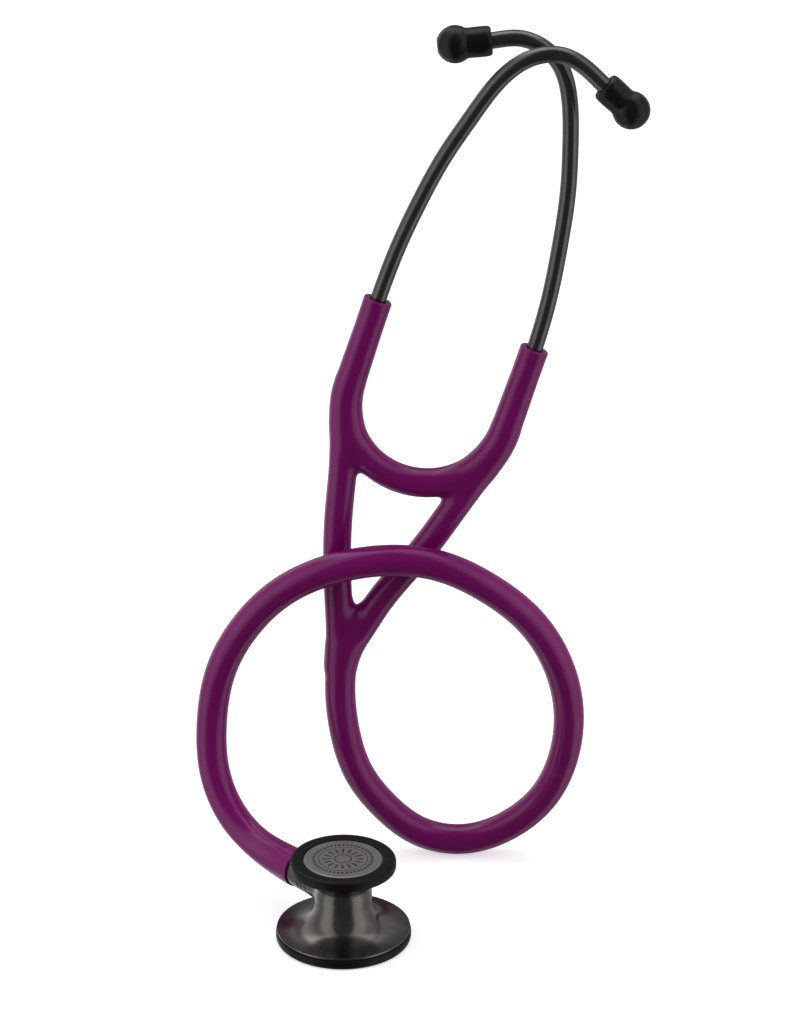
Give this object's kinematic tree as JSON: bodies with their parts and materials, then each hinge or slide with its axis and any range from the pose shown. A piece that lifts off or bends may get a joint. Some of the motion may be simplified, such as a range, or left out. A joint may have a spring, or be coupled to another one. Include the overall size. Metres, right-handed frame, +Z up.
{
  "type": "stethoscope",
  "caption": "Double-sided stethoscope with a moulded Y tube in one piece with its legs, crossing metal ear tubes and soft eartips, standing on its chestpiece.",
  "frame": {"origin": "on the floor under the centre of the box round everything but the free tube", "axes": "+Z up, +X to the side the headset leans to, the chestpiece stands towards -Y"},
  "size_m": [0.1502, 0.0907, 0.2963],
  "materials": {
    "plum_tubing": "satin-gloss soft vinyl",
    "smoke_steel": "dark polished steel",
    "spring_steel": "plain steel",
    "graphite_metal": "dark satin anodised",
    "black_rubber": "matte soft rubber",
    "bright_insert": "plated",
    "grey_disc": "satin grey"
  },
  "bodies": {
    "tubing": {"yoke_tubing": "plum_tubing", "binaural_spring": "spring_steel", "main_tube": "plum_tubing", "tube_end_sleeve": "plum_tubing", "chest_stem": "spring_steel", "stem_collar": "graphite_metal", "stem_o_ring": "black_rubber", "stem_retaining_ring": "spring_steel", "detent_ball": "spring_steel", "detent_spring": "spring_steel"},
    "chest_head": {"chestpiece_body": "smoke_steel", "large_rim": "black_rubber", "small_rim": "black_rubber"},
    "large_disc": {"large_diaphragm": "grey_disc"},
    "small_disc": {"small_diaphragm": "grey_disc"},
    "left_arm": {"left_leg_sleeve": "plum_tubing", "left_ear_tube": "graphite_metal", "left_tip_connector": "bright_insert"},
    "right_arm": {"right_leg_sleeve": "plum_tubing", "right_ear_tube": "graphite_metal", "right_tip_connector": "bright_insert"},
    "left_tip": {"left_eartip": "black_rubber"},
    "right_tip": {"right_eartip": "black_rubber"}
  },
  "joints": [
    {"name": "chestpiece_turn", "type": "hinge", "parent": "tubing", "child": "chest_head", "pos_m": [-0.0382, -0.0229, 0.016], "axis": [-0.66, 0.7513, 0], "continuous": true},
    {"name": "large_diaphragm_press", "type": "slide", "parent": "chest_head", "child": "large_disc", "axis": [0, 0, 1], "range_m": [0, 0.0003], "stiffness_N_per_m": 3000},
    {"name": "small_diaphragm_press", "type": "slide", "parent": "chest_head", "child": "small_disc", "axis": [0, 0, -1], "range_m": [0, 0.0003], "stiffness_N_per_m": 3000},
    {"name": "left_arm_spread", "type": "hinge", "parent": "tubing", "child": "left_arm", "pos_m": [-0.03338, 0.0321, 0.18535], "axis": [0, -1, 0], "range_deg": [0, 45], "stiffness_Nm_per_rad": 1},
    {"name": "right_arm_spread", "type": "hinge", "parent": "tubing", "child": "right_arm", "pos_m": [0.01833, 0.0321, 0.16845], "axis": [0, 1, 0], "range_deg": [0, 45], "stiffness_Nm_per_rad": 1},
    {"name": "left_eartip_pull", "type": "slide", "parent": "left_arm", "child": "left_tip", "axis": [0.7137, 0, -0.7004], "range_m": [0, 0.012]},
    {"name": "right_eartip_pull", "type": "slide", "parent": "right_arm", "child": "right_tip", "axis": [-0.9896, 0, -0.1437], "range_m": [0, 0.012]}
  ]
}
